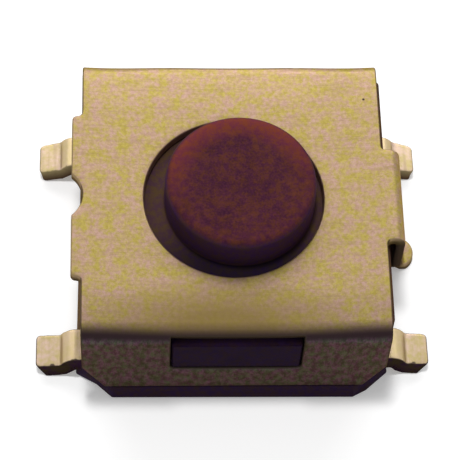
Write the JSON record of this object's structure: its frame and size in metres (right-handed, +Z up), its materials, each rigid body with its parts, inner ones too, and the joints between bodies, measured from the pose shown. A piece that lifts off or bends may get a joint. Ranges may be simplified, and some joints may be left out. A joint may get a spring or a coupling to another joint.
{
  "type": "tactile push button switch",
  "caption": "Surface-mount tactile push button switch: a round sprung button in a folded metal cover, on a moulded base with gull-wing terminals.",
  "frame": {"origin": "on the board, under the middle of the switch", "axes": "+X to the right towards the ground terminal, +Y to the rear, +Z up along the button"},
  "size_m": [0.0082, 0.0066, 0.0034],
  "materials": {
    "moulding": "matt glass-filled plastic",
    "plated_sheet": "rolled sheet with a warm tin plating and a fine grain",
    "button_plastic": "matt dark red-brown plastic",
    "spring_steel": "bright thin spring steel",
    "tinned_brass": "satin plated strip with sheared edges"
  },
  "bodies": {
    "base": {"housing": "moulding", "cover": "plated_sheet", "snap_dome": "spring_steel", "centre_contact": "tinned_brass", "rim_contact": "tinned_brass"},
    "plunger": {"button": "button_plastic"}
  },
  "joints": [
    {"name": "button_press", "type": "slide", "parent": "base", "child": "plunger", "axis": [0, 0, -1], "range_m": [0, 0.00025], "stiffness_N_per_m": 6400, "deforming": ["snap_dome"]}
  ]
}
